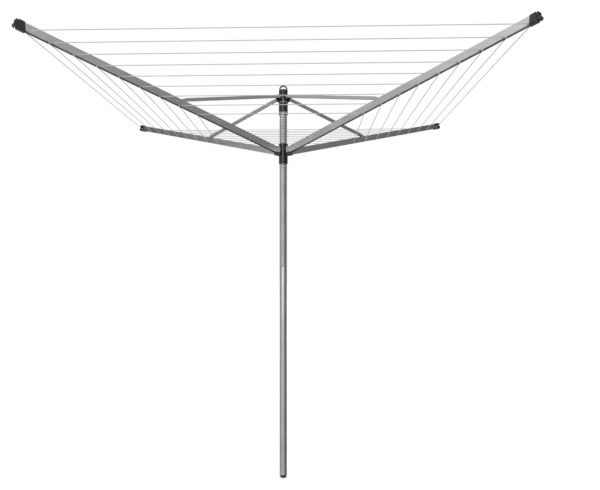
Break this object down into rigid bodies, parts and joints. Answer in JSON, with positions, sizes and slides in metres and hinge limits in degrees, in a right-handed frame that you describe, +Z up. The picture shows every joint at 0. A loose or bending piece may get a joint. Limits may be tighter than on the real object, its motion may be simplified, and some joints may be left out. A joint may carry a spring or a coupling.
{
  "type": "rotary clothesline",
  "caption": "Umbrella-type rotary clothesline: a slotted mast with a sliding head, struts and arms that fold upward, and square loops of taut line between the arms.",
  "frame": {"origin": "centre of the mast's foot, on the floor of the ground socket", "axes": "+Z up along the mast; the four arms lie along +X, +Y, -X and -Y"},
  "size_m": [2.9748, 2.9748, 2.1624],
  "materials": {
    "mast_aluminium": "satin drawn tube",
    "arm_aluminium": "satin anodised extrusion",
    "black_nylon": "moulded, slightly glossy",
    "grey_nylon": "moulded",
    "steel": "zinc plated",
    "line": "smooth coated cord"
  },
  "bodies": {
    "foot": {"foot_plug": "black_nylon"},
    "mast": {"mast_tube": "mast_aluminium", "top_cap": "black_nylon", "thrust_ring": "black_nylon"},
    "head": {"head_hub": "black_nylon", "head_sleeve": "black_nylon", "head_skirt": "grey_nylon", "head_liner": "grey_nylon", "strut_pins": "steel"},
    "lower_hub": {"lower_hub": "black_nylon", "lower_sleeve": "black_nylon", "lower_liner": "grey_nylon", "arm_pins": "steel", "line_loop_1": "line", "line_loop_2": "line", "line_loop_3": "line", "line_loop_4": "line", "line_loop_5": "line", "line_loop_6": "line", "line_loop_7": "line", "line_loop_8": "line", "line_loop_9": "line"},
    "strut_1": {"strut_1": "arm_aluminium"},
    "arm_1": {"arm_1": "arm_aluminium", "arm_tip_1": "black_nylon", "joint_pin_1": "steel", "joint_bushes_1": "black_nylon"},
    "strut_2": {"strut_2": "arm_aluminium"},
    "arm_2": {"arm_2": "arm_aluminium", "arm_tip_2": "black_nylon", "joint_pin_2": "steel", "joint_bushes_2": "black_nylon"},
    "strut_3": {"strut_3": "arm_aluminium"},
    "arm_3": {"arm_3": "arm_aluminium", "arm_tip_3": "black_nylon", "joint_pin_3": "steel", "joint_bushes_3": "black_nylon"},
    "strut_4": {"strut_4": "arm_aluminium"},
    "arm_4": {"arm_4": "arm_aluminium", "arm_tip_4": "black_nylon", "joint_pin_4": "steel", "joint_bushes_4": "black_nylon"}
  },
  "joints": [
    {"name": "mast_turn", "type": "hinge", "parent": "foot", "child": "mast", "pos_m": [0, 0, 0.006], "axis": [0, 0, 1], "continuous": true},
    {"name": "head_height", "type": "slide", "parent": "mast", "child": "head", "axis": [0, 0, 1], "range_m": [-0.58, 0]},
    {"name": "fold", "type": "hinge", "parent": "head", "child": "strut_1", "pos_m": [0.04, 0, 2.094], "axis": [0, 1, 0], "range_deg": [0, 72.94], "deforming": ["line_loop_1", "line_loop_2", "line_loop_3", "line_loop_4", "line_loop_5", "line_loop_6", "line_loop_7", "line_loop_8", "line_loop_9"]},
    {"name": "arm_1_hinge", "type": "hinge", "parent": "strut_1", "child": "arm_1", "pos_m": [0.7, 0, 1.953], "axis": [0, -1, 0], "range_deg": [0, 145.88]},
    {"name": "lower_hub_hinge", "type": "hinge", "parent": "arm_1", "child": "lower_hub", "pos_m": [0.04, 0, 1.81199], "axis": [0, 1, 0], "range_deg": [0, 72.94]},
    {"name": "strut_2_hinge", "type": "hinge", "parent": "head", "child": "strut_2", "pos_m": [0, 0.04, 2.094], "axis": [-1, 0, 0], "range_deg": [0, 72.94]},
    {"name": "arm_2_hinge", "type": "hinge", "parent": "lower_hub", "child": "arm_2", "pos_m": [0, 0.04, 1.81199], "axis": [1, 0, 0], "range_deg": [0, 72.94]},
    {"name": "strut_3_hinge", "type": "hinge", "parent": "head", "child": "strut_3", "pos_m": [-0.04, 0, 2.094], "axis": [0, -1, 0], "range_deg": [0, 72.94]},
    {"name": "arm_3_hinge", "type": "hinge", "parent": "lower_hub", "child": "arm_3", "pos_m": [-0.04, 0, 1.81199], "axis": [0, 1, 0], "range_deg": [0, 72.94]},
    {"name": "strut_4_hinge", "type": "hinge", "parent": "head", "child": "strut_4", "pos_m": [0, -0.04, 2.094], "axis": [1, 0, 0], "range_deg": [0, 72.94]},
    {"name": "arm_4_hinge", "type": "hinge", "parent": "lower_hub", "child": "arm_4", "pos_m": [0, -0.04, 1.81199], "axis": [-1, 0, 0], "range_deg": [0, 72.94]}
  ],
  "couplings": [
    {"joint": "arm_1_hinge", "follows": "fold", "ratio": 2},
    {"joint": "lower_hub_hinge", "follows": "fold", "ratio": 1},
    {"joint": "strut_2_hinge", "follows": "fold", "ratio": 1},
    {"joint": "arm_2_hinge", "follows": "fold", "ratio": 1},
    {"joint": "strut_3_hinge", "follows": "fold", "ratio": 1},
    {"joint": "arm_3_hinge", "follows": "fold", "ratio": 1},
    {"joint": "strut_4_hinge", "follows": "fold", "ratio": 1},
    {"joint": "arm_4_hinge", "follows": "fold", "ratio": 1}
  ]
}
